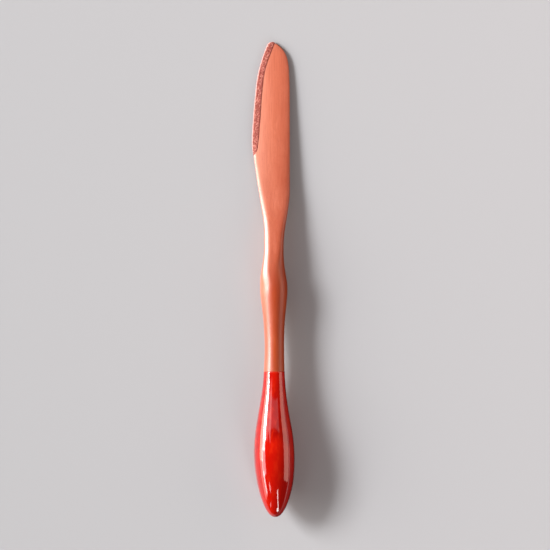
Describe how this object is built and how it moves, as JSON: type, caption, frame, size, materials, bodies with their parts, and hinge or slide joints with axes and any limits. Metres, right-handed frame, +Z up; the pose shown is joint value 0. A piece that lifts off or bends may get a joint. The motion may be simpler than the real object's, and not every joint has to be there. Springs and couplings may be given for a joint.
{
  "type": "wooden ink knife",
  "caption": "Hand-carved wooden knife with a blunt leaf-shaped blade, a gritty band round its edge, a slim neck, an oval swell and a bulbous handle end under glossy red lacquer.",
  "frame": {"origin": "on the table under the middle of the knife's box, with the knife lying on its bulb and its tip", "axes": "+Y runs from the butt to the tip, +X to the spine's side, +Z up out of the show face"},
  "size_m": [0.0206, 0.2298, 0.0198],
  "materials": {
    "wood": "satin, salmon-stained fine-grained wood",
    "red_lacquer": "mirror gloss, slightly translucent red lacquer",
    "gritty_band": "rough, granular dusty-red filled lacquer"
  },
  "bodies": {
    "root": {"wood_body": "wood", "lacquer_coat": "red_lacquer", "edge_band": "gritty_band"}
  },
  "joints": []
}
